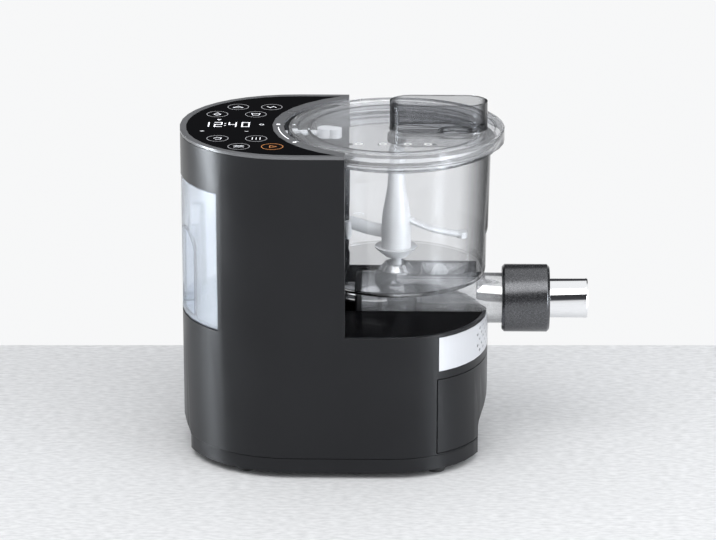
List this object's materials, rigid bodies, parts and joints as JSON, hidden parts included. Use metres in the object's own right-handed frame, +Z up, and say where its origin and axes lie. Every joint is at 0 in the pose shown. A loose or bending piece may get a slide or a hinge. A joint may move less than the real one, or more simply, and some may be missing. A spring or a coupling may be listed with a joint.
{
  "type": "electric pasta maker",
  "caption": "Motor housing with a clear kneading bowl on its shoulder, a turning paddle and an auger that presses dough out of a round nozzle.",
  "frame": {"origin": "centre of the bounding box on the plane the feet stand on", "axes": "+Z up, +X from the water tank towards the nozzle, -Y the long side with the drawer on its right"},
  "size_m": [0.359, 0.204, 0.3145],
  "materials": {
    "anthracite": "satin",
    "matte_black": "matte",
    "trim_grey": "satin metallic",
    "black_glass": "polished",
    "circuit_green": "satin",
    "gloss_black": "polished",
    "bright_steel": "satin",
    "plain_white": "satin",
    "dark_steel": "satin",
    "hose_clear": "satin",
    "pale_clear": "clear",
    "smoky_clear": "clear smoky",
    "milk_white": "satin",
    "rubber_black": "matte",
    "chrome_bright": "polished",
    "graphite": "satin with fine sparkle"
  },
  "bodies": {
    "housing": {"housing_shell": "anthracite", "base_pan": "anthracite", "top_trim": "trim_grey", "control_glass": "black_glass", "control_board": "circuit_green", "display_module": "matte_black", "bowl_platform": "gloss_black", "vent_strip": "bright_steel", "power_inlet": "matte_black", "tank_bay": "matte_black", "tank_socket": "plain_white", "foot_1": "rubber_black", "foot_2": "rubber_black", "foot_3": "rubber_black", "foot_4": "rubber_black", "pan_screw_1": "dark_steel", "pan_screw_2": "dark_steel", "pan_screw_3": "dark_steel", "pan_screw_4": "dark_steel", "motor_can": "dark_steel", "motor_stator": "dark_steel", "gear_plate": "dark_steel", "fan_frame": "matte_black", "water_pump": "plain_white", "suction_hose": "hose_clear", "pressure_hose": "hose_clear", "water_spout": "plain_white", "drawer_rail_left": "matte_black", "drawer_rail_right": "matte_black"},
    "motor": {"motor_rotor": "dark_steel", "motor_pinion": "bright_steel"},
    "drive": {"drive_gear": "plain_white", "drive_dog": "bright_steel"},
    "fan": {"fan_rotor": "matte_black"},
    "tank": {"water_tank": "pale_clear", "tank_valve": "plain_white"},
    "drawer": {"drawer_front": "anthracite", "drawer_box": "matte_black"},
    "bowl": {"bowl_shell": "smoky_clear", "extruder_barrel": "smoky_clear", "barrel_flange": "matte_black"},
    "auger": {"auger": "milk_white", "bevel_pinion": "milk_white"},
    "paddle": {"paddle": "milk_white", "bevel_wheel": "milk_white"},
    "seal": {"lid_seal": "rubber_black"},
    "lid": {"lid_shell": "smoky_clear", "lid_funnel": "smoky_clear", "lid_port": "milk_white"},
    "nozzle": {"die_disc": "milk_white", "nozzle_tube": "chrome_bright"},
    "nut": {"ring_nut": "graphite"}
  },
  "joints": [
    {"name": "motor_spin", "type": "hinge", "parent": "housing", "child": "motor", "pos_m": [-0.14, 0, 0.089], "axis": [1, 0, 0], "continuous": true},
    {"name": "drive_spin", "type": "hinge", "parent": "housing", "child": "drive", "pos_m": [-0.098, 0, 0.134], "axis": [1, 0, 0], "continuous": true},
    {"name": "fan_spin", "type": "hinge", "parent": "housing", "child": "fan", "pos_m": [-0.059, 0, 0.062], "axis": [1, 0, 0], "continuous": true},
    {"name": "tank_pull", "type": "slide", "parent": "housing", "child": "tank", "axis": [-1, 0, 0], "range_m": [0, 0.07]},
    {"name": "drawer_pull", "type": "slide", "parent": "housing", "child": "drawer", "axis": [1, 0, 0], "range_m": [0, 0.1]},
    {"name": "bowl_pull", "type": "slide", "parent": "housing", "child": "bowl", "axis": [1, 0, 0], "range_m": [0, 0.06]},
    {"name": "auger_spin", "type": "hinge", "parent": "bowl", "child": "auger", "pos_m": [0.05, 0, 0.134], "axis": [1, 0, 0], "continuous": true},
    {"name": "paddle_spin", "type": "hinge", "parent": "bowl", "child": "paddle", "pos_m": [0.01, 0, 0.16], "axis": [0, 0, 1], "continuous": true},
    {"name": "lid_lift", "type": "slide", "parent": "bowl", "child": "seal", "axis": [0, 0, 1], "range_m": [0, 0.06]},
    {"name": "lid_turn", "type": "hinge", "parent": "seal", "child": "lid", "pos_m": [0.01, 0, 0.285], "axis": [0, 0, 1], "range_deg": [0, 35]},
    {"name": "nozzle_pull", "type": "slide", "parent": "bowl", "child": "nozzle", "axis": [1, 0, 0], "range_m": [0, 0.05]},
    {"name": "nut_turn", "type": "hinge", "parent": "nozzle", "child": "nut", "pos_m": [0.125, 0, 0.134], "axis": [1, 0, 0], "continuous": true}
  ],
  "couplings": [
    {"joint": "drive_spin", "follows": "motor_spin", "ratio": -0.33333},
    {"joint": "auger_spin", "follows": "motor_spin", "ratio": -0.33333},
    {"joint": "paddle_spin", "follows": "motor_spin", "ratio": -0.16667}
  ]
}
